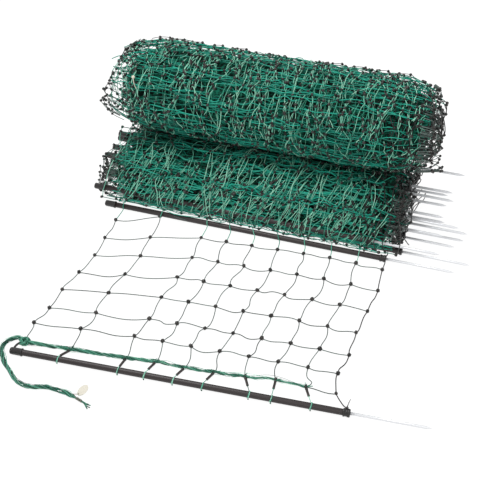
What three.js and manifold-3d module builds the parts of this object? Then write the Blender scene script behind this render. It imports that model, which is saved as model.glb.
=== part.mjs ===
// Electric fence netting for small animals: 50 m of net on 16 posts, bundled as it is sold.
// The first post lies out in front with a stretch of net behind it. The other 15 posts lie side by side
// in the folded net, and the rest of the net is rolled up on top of them.
// Millimetres, +Z up. +X runs along the bundled posts towards their spikes, +Y away from the first post,
// and the origin is on the floor under the middle of the folded net.
import * as THREE from "three";
import { mergeVertices } from "three/addons/utils/BufferGeometryUtils.js";
import Module from "manifold-3d";

const wasm = await Module();
wasm.setup();

// Gap kept between two pieces that touch
const FIT = 0.3;

// Posts and their steel spikes
const POST_LENGTH = 700;
const POST_RADIUS = 6.5;
const SPIKE_RADIUS = 3.1;
const SPIKE_REACH = 165;
const SPIKE_SHANK = 40;
const SPIKE_POINT = 12;
const CAP_LENGTH = 27;
const CAP_WALL = 0.9;
const CAP_END = 3;
const CAP_RIM = 0.8;
const CAP_RIM_WIDTH = 3;
const FOOT_SOCKET = 6;
const FOOT_FLANGE = 8;

// Green thread that ties the net to the first post, and the black sleeves on it
const THREAD_RADIUS = 0.8;
const INSULATOR_RADIUS = 2.5;
const INSULATOR_LENGTH = 24;

// Net: line 0 is the top line, line 9 the black bottom line, and the top gap takes up the post's spare length
const SECOND_GAP = 118;
const LINE_GAP = 62;
const EVEN_LINES = 7;
const STRAND_RADIUS = 0.9;
const BOTTOM_LINE_RADIUS = 1.2;
const KNOT_RADIUS = 4;

// Twisted green lead along the first post: thick at the top, where the net's strands join it
const LEAD_STRETCHES = [
  { radius: 4.5, from: 0, to: 2 },
  { radius: 3.2, from: 2, to: 6 },
  { radius: 2, from: 6, to: 9 },
];
const LEAD_KNOT = [12, 9, 8];
const STRAP_RADIUS = 1.3;

// Where the first post and its stretch of net lie
const FIRST_TOP = [-309, -709];
const FIRST_TURN = 4.5;

// The stretch of net as it lies on the floor, along the post and away from it
const NET_START = 16;
const NET_END = 28;
const LEAD_OUT = [33, 38, 43, 48, 46, 49, 52, 59, 54, 50];
const ROW_OUT = [108, 168, 242, 318, 395, 474];
const ROW_LEAN = [-6, 7, 10, 23, 35, 34];
const LINE_PULL = [0.12, 0.06, 0, 0, 0, 0, 0, 0, 0.01, 0.03];
const OVERLAP_IN_FOLD = 12;
const TIE_SLIP = [-16, -4, -10, -12, -13, 20, 3, 20];

// Bundled posts: place across the floor in rows, height in levels, how far the spike's tip stands out
// past the folded net, and the post's turn in degrees
const FRONT_ROW = -119;
const ROW_SPACE = 13;
const LEVEL_SPACE = 14;
const BUNDLED_POSTS = [
  { row: -1.46, level: 0, past: 146, turn: 0.2 },
  { row: 0, level: 0, past: 176, turn: -0.1 },
  { row: -0.7, level: 1, past: 107, turn: -0.2 },
  { row: 2.2, level: 0, past: 132, turn: -0.5 },
  { row: 3.4, level: 0, past: 149, turn: 0.3 },
  { row: 2.1, level: 1, past: 102, turn: 0.1 },
  { row: 3.1, level: 1, past: 155, turn: -0.1 },
  { row: 4.2, level: 1, past: 96, turn: 0.4 },
  { row: 2.3, level: 2, past: 134, turn: -0.3 },
  { row: 3.5, level: 2, past: 93, turn: 0.2 },
  { row: 5.4, level: 2, past: 93, turn: 0.8 },
  { row: 7.1, level: 2, past: 88, turn: 0.5 },
  { row: 4.8, level: 3, past: 108, turn: -0.6 },
  { row: 6.1, level: 3, past: 101, turn: 0.4 },
  { row: 7.9, level: 3.9, past: 120, turn: 0.7 },
];

// Folded net: outline across the bundle, from the front of its foot round over the top
const STACK_SPARE = 30;
const STACK_MIDDLE = 5;
const STACK_TOP = 135;
const STACK_FOOT = [-128, 142];
const STACK_FRONT = [[-137, 14], [-139, 34], [-126, 62], [-104, 92], [-74, 122], [-46, STACK_TOP]];
const STACK_BACK = [[104, STACK_TOP], [132, 118], [150, 84], [156, 40]];
const STACK_ROUND = 150;
const STACK_THINNING = 0.16;
const STACK_STEPS = 14;

// Rolled net: an oval roll that thins towards its ends, with its turns showing there
const ROLL_FROM = -376;
const ROLL_TO = 424;
const ROLL_HALF_WIDTH = 119;
const ROLL_HALF_HEIGHT = 104;
const ROLL_OUT = 50;
const ROLL_TURNS = 5;
const ROLL_TURN_STEP = 7;
const ROLL_END_BULGE = 34;
const ROLL_SHOULDER = [[0.9, 62], [0.97, 100], [1, 150]];

// Free end of the lead: hand-chosen points on the floor, from the knot round the post's top end
const TAIL_RADIUS = 4.5;
const TAIL_POINTS = [
  [-297, -674], [-304, -668], [-314, -667], [-325, -673], [-332, -685], [-333, -699], [-327, -714],
  [-316, -729], [-302, -744], [-285, -758], [-264, -776], [-246, -785], [-230, -788], [-214, -785],
  [-199, -779], [-183, -777], [-165, -777], [-147, -779], [-128, -783], [-112, -788], [-97, -794],
  [-88, -799],
];
const TAG_FROM_END = 4;
const TAG_LENGTH = 8;
const TAG_WALL = 0.6;
const TAG_FIT = 0.5;
const TAG_SIZE = [9, 6.5, 1.2];
const TAG_AWAY = 16;

// Sides of the round sections
const POST_SIDES = 12;
const SPIKE_SIDES = 8;
const CORD_SIDES = 8;
const STRAND_SIDES = 4;
const ROLL_SIDES = 24;

const BOTTOM_LINE = EVEN_LINES + 2;
const TOP_GAP = POST_LENGTH - NET_START - NET_END - SECOND_GAP - EVEN_LINES * LINE_GAP;
const STACK_LENGTH = POST_LENGTH + STACK_SPARE;
const STACK_END = STACK_MIDDLE + STACK_LENGTH / 2;
const CAP_RADIUS = POST_RADIUS + FIT + CAP_WALL;
const TIE_RADIUS = POST_RADIUS + FIT + THREAD_RADIUS;
const REST_HEIGHT = Math.max(CAP_RADIUS + CAP_RIM, TIE_RADIUS + THREAD_RADIUS);

// Looks of the pieces, plain and close to the real ones
function finish(colour, roughness, metalness = 0) {
  return new THREE.MeshStandardMaterial({ color: colour, roughness, metalness });
}
const postPlastic = finish(0x2a2325, 0.45);
const blackPlastic = finish(0x151515, 0.4);
const steel = finish(0xb9bcbf, 0.35, 1);
const greenCord = finish(0x1f7a58, 0.6);
const greenNet = finish(0x12805f, 0.55);
const tagCard = finish(0xe6e3d8, 0.7);

// A closed geometry as a solid for joining and cutting, without its triangles of no area
function solidOf(geometry) {
  const shell = geometry.clone();
  shell.deleteAttribute("normal");
  shell.deleteAttribute("uv");
  const merged = mergeVertices(shell, 1e-3);
  const corners = merged.index.array;
  const kept = [];
  for (let i = 0; i < corners.length; i += 3) {
    const [a, b, c] = corners.slice(i, i + 3);
    if (a !== b && b !== c && c !== a) kept.push(a, b, c);
  }
  return new wasm.Manifold(new wasm.Mesh({
    numProp: 3,
    vertProperties: merged.attributes.position.array,
    triVerts: Uint32Array.from(kept),
  }));
}

function geometryOf(solid) {
  const mesh = solid.getMesh();
  const geometry = new THREE.BufferGeometry();
  geometry.setAttribute("position", new THREE.BufferAttribute(mesh.vertProperties, 3));
  geometry.setIndex(new THREE.BufferAttribute(mesh.triVerts, 1));
  geometry.computeVertexNormals();
  return geometry;
}

function joined(geometries) {
  return geometries.map(solidOf).reduce((sum, solid) => sum.add(solid));
}

function piece(name, geometry, material, parent) {
  const mesh = new THREE.Mesh(geometry, material);
  mesh.name = name;
  parent.add(mesh);
  return mesh;
}

// Turned piece along X, from a profile of [x, radius] points that goes up its outside along +X
function turned(profile, sides) {
  const points = profile.map(([x, radius]) => new THREE.Vector2(radius, x));
  return new THREE.LatheGeometry(points, sides).rotateZ(-Math.PI / 2);
}

function sleeve(from, to, bore, radius, sides) {
  return turned([[from, bore], [from, radius], [to, radius], [to, bore], [from, bore]], sides);
}

// Round cord through the points, with a number of steps between two of them
function cord(points, radius, sides, stepsEach = 2) {
  const curve = new THREE.CatmullRomCurve3(points, false, "centripetal");
  const section = new THREE.Shape();
  for (let i = 0; i < sides; i += 1) {
    const angle = 2 * Math.PI * (i + 0.5) / sides;
    const corner = [radius * Math.cos(angle), radius * Math.sin(angle)];
    if (i === 0) section.moveTo(...corner);
    else section.lineTo(...corner);
  }
  section.closePath();
  const steps = Math.round((points.length - 1) * stepsEach);
  return new THREE.ExtrudeGeometry(section, { steps, extrudePath: curve, curveSegments: 1 });
}

// Post: a plastic tube with a socket for its spike, along -X from its lower end
function postTube(length, top) {
  const bore = SPIKE_RADIUS + FIT;
  return turned([
    [-SPIKE_SHANK - FIT, 0],
    [-SPIKE_SHANK - FIT, bore],
    [0, bore],
    [0, POST_RADIUS],
    [-length, POST_RADIUS],
    ...top,
  ].reverse(), POST_SIDES);
}

// A bundled post has its top cap in one with it
function cappedPost() {
  return postTube(POST_LENGTH - CAP_LENGTH, [
    [-POST_LENGTH + CAP_LENGTH, CAP_RADIUS + CAP_RIM],
    [-POST_LENGTH + CAP_RIM_WIDTH, CAP_RADIUS],
    [-POST_LENGTH, POST_RADIUS - CAP_WALL],
    [-POST_LENGTH, 0],
  ]);
}

function spike() {
  return turned([
    [-SPIKE_SHANK, 0],
    [-SPIKE_SHANK, SPIKE_RADIUS],
    [SPIKE_REACH - SPIKE_POINT, SPIKE_RADIUS],
    [SPIKE_REACH, 0],
  ], SPIKE_SIDES);
}

const netting = new THREE.Group();

// Bundled posts
const rowPitch = 2 * POST_RADIUS + ROW_SPACE;
const levelPitch = 2 * POST_RADIUS + LEVEL_SPACE;

function bundledPost({ row, level, past, turn }) {
  const place = new THREE.Group();
  const angle = THREE.MathUtils.degToRad(turn);
  place.position.set(
    STACK_END + past - SPIKE_REACH * Math.cos(angle),
    FRONT_ROW + row * rowPitch - SPIKE_REACH * Math.sin(angle),
    REST_HEIGHT + level * levelPitch,
  );
  place.rotation.z = angle;
  place.updateMatrixWorld();
  return place;
}

const bundled = BUNDLED_POSTS.map(bundledPost);
const postShape = cappedPost();
const spikeShape = spike();
bundled.forEach((place, index) => {
  const number = String(index + 1).padStart(2, "0");
  piece(`post_${number}`, postShape, postPlastic, place);
  piece(`spike_${number}`, spikeShape, steel, place);
  netting.add(place);
});

// Folded net, thinner towards its ends, with a channel for each bundled post
function stackBody(grow) {
  const outline = new THREE.Shape();
  outline.moveTo(STACK_FOOT[0], 0);
  [...STACK_FRONT, ...STACK_BACK].forEach(([out, up]) => outline.lineTo(out, up));
  outline.lineTo(STACK_FOOT[1], 0);
  outline.closePath();
  const body = new THREE.ExtrudeGeometry(outline, {
    depth: STACK_LENGTH,
    steps: STACK_STEPS,
    bevelThickness: 0,
    bevelSize: 0,
    bevelOffset: grow,
    bevelSegments: 0,
  });
  const alongX = new THREE.Matrix4().makeBasis(
    new THREE.Vector3(0, 1, 0), new THREE.Vector3(0, 0, 1), new THREE.Vector3(1, 0, 0),
  );
  body.applyMatrix4(alongX).translate(-STACK_LENGTH / 2, 0, 0);
  const corners = body.attributes.position;
  for (let i = 0; i < corners.count; i += 1) {
    const intoEnd = Math.max(0, Math.abs(corners.getX(i)) - STACK_LENGTH / 2 + STACK_ROUND) / STACK_ROUND;
    const size = 1 - STACK_THINNING * intoEnd ** 2;
    const behind = corners.getY(i) - STACK_FRONT[0][0];
    const y = STACK_FRONT[0][0] + behind * size;
    corners.setXYZ(i, corners.getX(i) + STACK_MIDDLE, y, corners.getZ(i) * size);
  }
  return body;
}

const channelRadius = CAP_RADIUS + CAP_RIM + FIT;
const channelShape = turned([
  [-POST_LENGTH - FIT, 0],
  [-POST_LENGTH - FIT, channelRadius],
  [-POST_LENGTH + CAP_LENGTH + FIT, channelRadius],
  [-POST_LENGTH + CAP_LENGTH + FIT, POST_RADIUS + FIT],
  [SPIKE_REACH + FIT, POST_RADIUS + FIT],
  [SPIKE_REACH + FIT, 0],
], POST_SIDES);

const stackSolid = bundled.reduce(
  (solid, place) => solid.subtract(solidOf(channelShape.clone().applyMatrix4(place.matrixWorld))),
  solidOf(stackBody(0)),
);
piece("netting_stack", geometryOf(stackSolid), greenNet, netting);

// Rolled net, turned and then pressed oval
function rollEnd(side) {
  const points = [];
  for (let turn = 0; turn <= ROLL_TURNS; turn += 1) {
    const share = 0.8 * turn / ROLL_TURNS;
    const depth = ROLL_END_BULGE * share ** 2;
    points.push([side * (depth + ROLL_TURN_STEP), share]);
    if (turn < ROLL_TURNS) points.push([side * depth, share + 0.5 / ROLL_TURNS]);
  }
  ROLL_SHOULDER.forEach(([share, depth]) => points.push([side * depth, share]));
  return points;
}

const rollProfile = [
  ...rollEnd(1).map(([depth, share]) => [ROLL_FROM + depth, share]),
  ...rollEnd(-1).map(([depth, share]) => [ROLL_TO + depth, share]).reverse(),
];
const roll = piece("netting_roll", turned(rollProfile, ROLL_SIDES), greenNet, netting);
roll.scale.set(1, ROLL_HALF_WIDTH, ROLL_HALF_HEIGHT);
roll.position.set(0, ROLL_OUT, STACK_TOP + FIT + ROLL_HALF_HEIGHT);

// First post, laid out in front: X along it from its top end, Y towards the bundle
const first = new THREE.Group();
first.position.set(FIRST_TOP[0], FIRST_TOP[1], 0);
first.rotation.z = THREE.MathUtils.degToRad(FIRST_TURN);
first.updateMatrixWorld();
netting.add(first);

function alongFirst(shape) {
  return shape.clone().translate(POST_LENGTH, 0, REST_HEIGHT);
}

piece("first_post", alongFirst(postTube(POST_LENGTH - CAP_END - FIT, [
  [-POST_LENGTH + CAP_END + FIT, 0],
])), postPlastic, first);
piece("first_spike", alongFirst(spikeShape), steel, first);
piece("first_foot", alongFirst(turned([
  [-FOOT_SOCKET, POST_RADIUS + FIT],
  [-FOOT_SOCKET, CAP_RADIUS + CAP_RIM],
  [FOOT_FLANGE - CAP_RIM, CAP_RADIUS + CAP_RIM],
  [FOOT_FLANGE, POST_RADIUS],
  [FOOT_FLANGE, SPIKE_RADIUS + FIT],
  [FIT, SPIKE_RADIUS + FIT],
  [FIT, POST_RADIUS + FIT],
  [-FOOT_SOCKET, POST_RADIUS + FIT],
], POST_SIDES)), blackPlastic, first);

// Lines of the net along the first post, and the knots of the lines and cross strands
const lineStarts = Array.from({ length: BOTTOM_LINE + 1 }, (_, line) => {
  if (line === 0) return NET_START;
  return NET_START + TOP_GAP + (line === 1 ? 0 : SECOND_GAP + (line - 2) * LINE_GAP);
});

function netKnot(line, row) {
  const out = ROW_OUT[row] * (1 - LINE_PULL[line]);
  return new THREE.Vector3(lineStarts[line] + ROW_LEAN[row], out, KNOT_RADIUS);
}

// Lead with the net's top cross strand, tied in a knot beside the post's cap
function leadRadius(line) {
  return LEAD_STRETCHES.find(({ to }) => line <= to).radius;
}

function leadPoints({ radius, from, to }) {
  const points = [];
  for (let line = from; line <= to; line += 1) {
    const overlap = line > 0 && line === from ? 2 * radius : 0;
    points.push(new THREE.Vector3(lineStarts[line] - overlap, LEAD_OUT[line], radius));
  }
  return points;
}

function leadBody(grow) {
  return joined(LEAD_STRETCHES.map((stretch) => (
    cord(leadPoints(stretch), stretch.radius + grow, CORD_SIDES)
  )));
}

function knotBody(grow) {
  return new THREE.SphereGeometry(1, 16, 10)
    .rotateX(Math.PI / 2)
    .scale(...LEAD_KNOT.map((half) => half + grow))
    .translate(NET_START, LEAD_OUT[0], LEAD_KNOT[2]);
}

const knotRoom = solidOf(knotBody(FIT));
const leadRoom = leadBody(FIT).add(knotRoom);
piece("lead_knot", knotBody(0), greenCord, first);
piece("lead_bundle", geometryOf(leadBody(0).subtract(knotRoom)), greenCord, first);

// Cap of the first post, with the strap that holds the lead's knot
const capShape = turned([
  [0, 0],
  [0, POST_RADIUS - CAP_WALL],
  [CAP_RIM_WIDTH, CAP_RADIUS],
  [CAP_LENGTH - CAP_RIM_WIDTH, CAP_RADIUS],
  [CAP_LENGTH - CAP_RIM_WIDTH, CAP_RADIUS + CAP_RIM],
  [CAP_LENGTH, CAP_RADIUS + CAP_RIM],
  [CAP_LENGTH, POST_RADIUS + FIT],
  [CAP_END, POST_RADIUS + FIT],
  [CAP_END, 0],
], POST_SIDES).translate(0, 0, REST_HEIGHT);
const strapStart = CAP_RADIUS - CAP_WALL / 2;
const strap = cord([
  new THREE.Vector3(CAP_RIM_WIDTH + STRAP_RADIUS, strapStart, REST_HEIGHT),
  new THREE.Vector3(CAP_RIM_WIDTH + STRAP_RADIUS, strapStart + 4, REST_HEIGHT),
  new THREE.Vector3(CAP_RIM_WIDTH + STRAP_RADIUS, (strapStart + LEAD_OUT[0]) / 2, REST_HEIGHT),
  new THREE.Vector3(NET_START, LEAD_OUT[0], LEAD_KNOT[2]),
], STRAP_RADIUS, CORD_SIDES);
piece("first_cap", geometryOf(joined([capShape, strap]).subtract(knotRoom)), blackPlastic, first);

// Ties: a ring of thread round the post, and the thread through its sleeve to the lead
const tieRing = new THREE.TorusGeometry(TIE_RADIUS, THREAD_RADIUS, 5, 12).rotateY(Math.PI / 2);
TIE_SLIP.forEach((slip, index) => {
  const line = index + 1;
  const lead = leadRadius(line);
  const start = new THREE.Vector3(lineStarts[line] + slip, TIE_RADIUS, REST_HEIGHT);
  const end = new THREE.Vector3(lineStarts[line], LEAD_OUT[line], lead);
  const thread = cord([start, end], THREAD_RADIUS, 5, 1);
  const ring = tieRing.clone().translate(start.x, 0, REST_HEIGHT);
  const tie = joined([ring, thread]).subtract(leadRoom);
  piece(`tie_${line}`, geometryOf(tie), greenCord, first);

  const reach = start.distanceTo(end) - lead - INSULATOR_RADIUS;
  const tube = sleeve(reach - INSULATOR_LENGTH, reach, THREAD_RADIUS + FIT, INSULATOR_RADIUS, CORD_SIDES);
  const insulator = piece(`insulator_${line}`, tube, blackPlastic, first);
  insulator.position.copy(start);
  insulator.quaternion.setFromUnitVectors(new THREE.Vector3(1, 0, 0), end.clone().sub(start).normalize());
});

// Stretch of net on the floor: it runs over the front bundled post into the folded net
const frontPost = bundled[0];
const frontPostAlong = new THREE.Vector3(1, 0, 0).applyQuaternion(frontPost.quaternion);
const overPost = POST_RADIUS + FIT + 2.5 * BOTTOM_LINE_RADIUS;

function overFrontPost(lineEnd) {
  const end = first.localToWorld(lineEnd.clone());
  const beside = (end.x - frontPost.position.x) / frontPostAlong.x;
  const axis = frontPost.position.clone().addScaledVector(frontPostAlong, beside);
  const arc = [150, 120, 90, 60, 30].map((degrees) => {
    const angle = THREE.MathUtils.degToRad(degrees);
    return axis.clone().add(new THREE.Vector3(0, overPost * Math.cos(angle), overPost * Math.sin(angle)));
  });
  const inFold = new THREE.Vector3(axis.x, STACK_FRONT[0][0] + OVERLAP_IN_FOLD, STACK_FRONT[0][1]);
  return [...arc, inFold].map((point) => first.worldToLocal(point));
}

const strands = [];
lineStarts.forEach((start, line) => {
  const knots = ROW_OUT.map((_, row) => netKnot(line, row));
  const lead = new THREE.Vector3(start, LEAD_OUT[line], leadRadius(line));
  const radius = line === BOTTOM_LINE ? BOTTOM_LINE_RADIUS : STRAND_RADIUS;
  strands.push(cord([lead, ...knots], radius, STRAND_SIDES, 1));
  strands.push(cord([knots.at(-1), ...overFrontPost(knots.at(-1))], radius, STRAND_SIDES, 2));
  knots.forEach((knot) => {
    strands.push(new THREE.OctahedronGeometry(KNOT_RADIUS, 0).translate(knot.x, knot.y, knot.z));
  });
});
ROW_OUT.forEach((_, row) => {
  strands.push(cord(lineStarts.map((_start, line) => netKnot(line, row)), STRAND_RADIUS, STRAND_SIDES, 1));
});
const foldedRoom = solidOf(stackBody(FIT).applyMatrix4(first.matrixWorld.clone().invert()));
const apron = joined(strands).subtract(leadRoom).subtract(foldedRoom);
piece("apron_net", geometryOf(apron), greenNet, first);

// Free end of the lead, with a bare tag tied on near its frayed end
const tagBore = TAIL_RADIUS + TAG_FIT;
const tagOuter = tagBore + TAG_WALL;
const tailPoints = TAIL_POINTS.map(([x, y]) => new THREE.Vector3(x, y, tagOuter));
const knotInPart = knotRoom.transform(first.matrixWorld.toArray());
const tail = solidOf(cord(tailPoints, TAIL_RADIUS, CORD_SIDES, 1)).subtract(knotInPart);
piece("lead_tail", geometryOf(tail), greenCord, netting);

const tagMiddle = tailPoints.at(-TAG_FROM_END);
const tagAlong = tailPoints.at(1 - TAG_FROM_END).clone().sub(tailPoints.at(-1 - TAG_FROM_END)).normalize();
const tagAngle = Math.atan2(tagAlong.y, tagAlong.x);
const wrap = sleeve(-TAG_LENGTH / 2, TAG_LENGTH / 2, tagBore, tagOuter, POST_SIDES);
const card = new THREE.CylinderGeometry(1, 1, 1, 16)
  .rotateX(Math.PI / 2)
  .scale(...TAG_SIZE)
  .translate(0, TAG_AWAY, 0);
const tagString = cord([
  new THREE.Vector3(0, tagBore + TAG_WALL / 2, 0),
  new THREE.Vector3(0, TAG_AWAY, 0),
], THREAD_RADIUS, CORD_SIDES, 1);
const tag = piece("lead_tag", geometryOf(joined([wrap, card, tagString])), tagCard, netting);
tag.position.copy(tagMiddle);
tag.rotation.z = tagAngle;

export default netting;
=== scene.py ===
import math
import bpy
import numpy as np
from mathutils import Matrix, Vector


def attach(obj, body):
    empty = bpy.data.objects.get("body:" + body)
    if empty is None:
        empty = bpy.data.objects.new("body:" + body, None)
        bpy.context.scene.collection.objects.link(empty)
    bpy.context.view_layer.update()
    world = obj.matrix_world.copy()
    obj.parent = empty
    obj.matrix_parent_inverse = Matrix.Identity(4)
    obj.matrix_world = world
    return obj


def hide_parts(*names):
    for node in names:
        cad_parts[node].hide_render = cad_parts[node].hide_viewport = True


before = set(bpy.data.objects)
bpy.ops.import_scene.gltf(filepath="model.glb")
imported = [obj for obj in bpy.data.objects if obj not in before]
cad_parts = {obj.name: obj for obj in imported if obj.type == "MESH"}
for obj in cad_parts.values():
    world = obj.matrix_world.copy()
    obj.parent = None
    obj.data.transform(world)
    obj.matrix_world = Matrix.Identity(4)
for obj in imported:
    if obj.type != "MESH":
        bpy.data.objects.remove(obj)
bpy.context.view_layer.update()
bpy.ops.object.select_all(action="DESELECT")


# Camera: a long lens above and in front of the bundle, standing to the right of its middle
# and turned back to it, as a packshot on a sweep of white paper.
camera_data = bpy.data.cameras.new("camera")
camera_data.lens = 75
camera_data.sensor_width = 36
camera_data.clip_start = 0.05
camera_data.clip_end = 40
camera = bpy.data.objects.new("camera", camera_data)
camera.location = (0.6287, -1.9854, 1.4323)
camera.rotation_euler = (math.radians(90 - 37), 0, math.radians(18.9))
bpy.context.scene.collection.objects.link(camera)
bpy.context.scene.camera = camera


# Floor and light: white paper that is lit so evenly that it burns out, with faint shadows
# close to the posts. A soft key from above and behind on the left, a fill from the front.
def material(name, colour, roughness, metallic=0.0, gloss=0.5):
    """A new principled material, with its node tree's makers: (material, tree, principled node)."""
    new = bpy.data.materials.new(name)
    new.use_nodes = True
    surface = new.node_tree.nodes["Principled BSDF"]
    surface.inputs["Base Color"].default_value = (*colour, 1)
    surface.inputs["Roughness"].default_value = roughness
    surface.inputs["Metallic"].default_value = metallic
    surface.inputs["Specular IOR Level"].default_value = gloss
    return new, new.node_tree, surface


bpy.ops.mesh.primitive_plane_add(size=12, location=(0, 0, 0))
floor = bpy.context.object
floor.name = "floor"
paper, tree, surface = material("white_paper", (0.12, 0.12, 0.12), 0.9, gloss=0.1)
surface.inputs["Emission Color"].default_value = (1, 1, 1, 1)
surface.inputs["Emission Strength"].default_value = 0.93
floor.data.materials.append(paper)

world = bpy.data.worlds.new("studio")
world.use_nodes = True
world.node_tree.nodes["Background"].inputs["Color"].default_value = (1, 1, 1, 1)
world.node_tree.nodes["Background"].inputs["Strength"].default_value = 0.85
bpy.context.scene.world = world
bpy.context.scene.view_settings.view_transform = "Standard"


def area_light(name, place, target, size, power):
    """A square soft box that points at target."""
    data = bpy.data.lights.new(name, "AREA")
    data.size = size
    data.energy = power
    lamp = bpy.data.objects.new(name, data)
    lamp.location = place
    aim = Vector(target) - Vector(place)
    lamp.rotation_euler = aim.to_track_quat("-Z", "Y").to_euler()
    bpy.context.scene.collection.objects.link(lamp)


area_light("key", (-0.7, -0.3, 2.7), (0, 0, 0.1), 1.0, 40)
area_light("fill", (1.0, -2.4, 1.8), (0, -0.2, 0.1), 1.6, 10)


# Free end of the lead: six polythene strands, loosely twisted, with pale filaments in them.
# It lies loose on the floor round the top of the first post, with a thin cord near its end.
MM = 0.001
random = np.random.default_rng(7)
FIRST_TOP = np.array([-309.0, -709.0, 0.0])
FIRST_TURN = math.radians(4.5)
REST_HEIGHT = 8.5
TAIL_HEIGHT = 5.6
TAIL = [
    (-297, -674), (-304, -668), (-314, -667), (-325, -673), (-332, -685), (-333, -699),
    (-327, -714), (-316, -729), (-302, -744), (-285, -758), (-264, -776), (-246, -785),
    (-230, -788), (-214, -785), (-199, -779), (-183, -777), (-165, -777), (-147, -779),
    (-128, -783), (-112, -788), (-97, -794), (-88, -799),
]


def first(u, v, z):
    """Row frame millimetres of points given along the first post, beside it and up."""
    u, v, z = np.broadcast_arrays(np.asarray(u, float), v, z)
    c, s = math.cos(FIRST_TURN), math.sin(FIRST_TURN)
    return np.stack([u * c - v * s, u * s + v * c, z], -1) + FIRST_TOP


def unit(vectors):
    return vectors / np.maximum(np.linalg.norm(vectors, axis=-1, keepdims=True), 1e-9)


def mesh_piece(name, points, faces, finish, shade=None):
    """One mesh from points in millimetres and faces: arrays of corner numbers, one row each."""
    data = bpy.data.meshes.new(name)
    points = np.asarray(points, np.float32).reshape(-1, 3) * MM
    data.vertices.add(len(points))
    data.vertices.foreach_set("co", points.ravel())
    corners = np.concatenate([f.ravel() for f in faces]).astype(np.int32)
    counts = np.concatenate([np.full(len(f), f.shape[1]) for f in faces])
    data.loops.add(len(corners))
    data.loops.foreach_set("vertex_index", corners)
    data.polygons.add(len(counts))
    data.polygons.foreach_set("loop_start", (np.cumsum(counts) - counts).astype(np.int32))
    if shade is not None:
        layer = data.attributes.new("shade", "FLOAT", "POINT")
        layer.data.foreach_set("value", np.asarray(shade, np.float32).ravel())
    data.update(calc_edges=True)
    data.validate()
    data.shade_smooth()
    data.materials.append(finish)
    new = bpy.data.objects.new(name, data)
    bpy.context.scene.collection.objects.link(new)
    return new


def frames(paths):
    """Two directions across each path, carried along it without twist."""
    along = unit(np.gradient(paths, axis=1))
    start = np.eye(3)[np.argmin(np.abs(along[:, 0]), axis=1)]
    side = np.empty_like(paths)
    side[:, 0] = unit(np.cross(along[:, 0], start))
    for i in range(1, paths.shape[1]):
        flat = side[:, i - 1] - (side[:, i - 1] * along[:, i]).sum(-1, keepdims=True) * along[:, i]
        side[:, i] = unit(flat)
    return side, np.cross(along, side)


def tubes(name, paths, radius, sides, finish, shade=None):
    """Round strands as one mesh. paths is (strands, points, 3); radius may differ per point."""
    paths = np.asarray(paths, float)
    count, n = paths.shape[:2]
    side, up = frames(paths)
    radius = np.broadcast_to(radius, (count, n))[:, :, None, None]
    angle = np.arange(sides) * 2 * math.pi / sides
    turn = np.cos(angle)[:, None] * side[:, :, None] + np.sin(angle)[:, None] * up[:, :, None]
    ring = paths[:, :, None] + radius * turn
    number = np.arange(count * n * sides).reshape(count, n, sides)
    a, b = number[:, :-1], number[:, 1:]
    walls = np.stack([a, np.roll(a, -1, 2), np.roll(b, -1, 2), b], -1).reshape(-1, 4)
    ends = np.concatenate([number[:, 0, ::-1], number[:, -1]])
    if shade is None:
        shade = random.random(count)
    shade = np.broadcast_to(np.reshape(shade, (count, -1))[:, :, None], (count, n, sides))
    return mesh_piece(name, ring, [walls, ends], finish, shade)


def smooth(points, steps):
    """A Catmull-Rom curve through the points, with so many steps between two of them."""
    points = np.asarray(points, float)
    p = np.concatenate([[2 * points[0] - points[1]], points, [2 * points[-1] - points[-2]]])
    t = np.arange(steps)[:, None] / steps
    out = []
    for a, b, c, d in zip(p, p[1:], p[2:], p[3:]):
        out.append(0.5 * (2 * b + (c - a) * t + (2 * a - 5 * b + 4 * c - d) * t ** 2
                          + (3 * b - a - 3 * c + d) * t ** 3))
    return np.concatenate(out + [points[-1:]])


def run(points):
    """Length travelled at each point of a curve."""
    return np.concatenate([[0], np.cumsum(np.linalg.norm(np.diff(points, axis=0), axis=1))])


def waves(x, count, size, wavelength):
    """Smooth seeded noise along x for so many strands: (strands, len(x))."""
    total = np.zeros((count, len(x)))
    for octave in (1, 2.3):
        phase = random.random((count, 1)) * 2 * math.pi
        stretch = 0.75 + 0.5 * random.random((count, 1))
        total += np.sin(x * 2 * math.pi * octave * stretch / wavelength + phase) / octave
    return size * total


def twist(centre, strands, reach, pitch, slack=0.3):
    """Strands laid round a centre line, loosely: (strands, points, 3)."""
    side, up = frames(centre[None])
    at = run(centre)
    phase = np.arange(strands)[:, None] * 2 * math.pi / strands
    turn = phase + 2 * math.pi * at / pitch + waves(at, strands, 0.5, 2.7 * pitch)
    out = reach * (1 + waves(at, strands, slack / 2, 1.9 * pitch))
    return centre + out[..., None] * (np.cos(turn)[..., None] * side + np.sin(turn)[..., None] * up)


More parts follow.
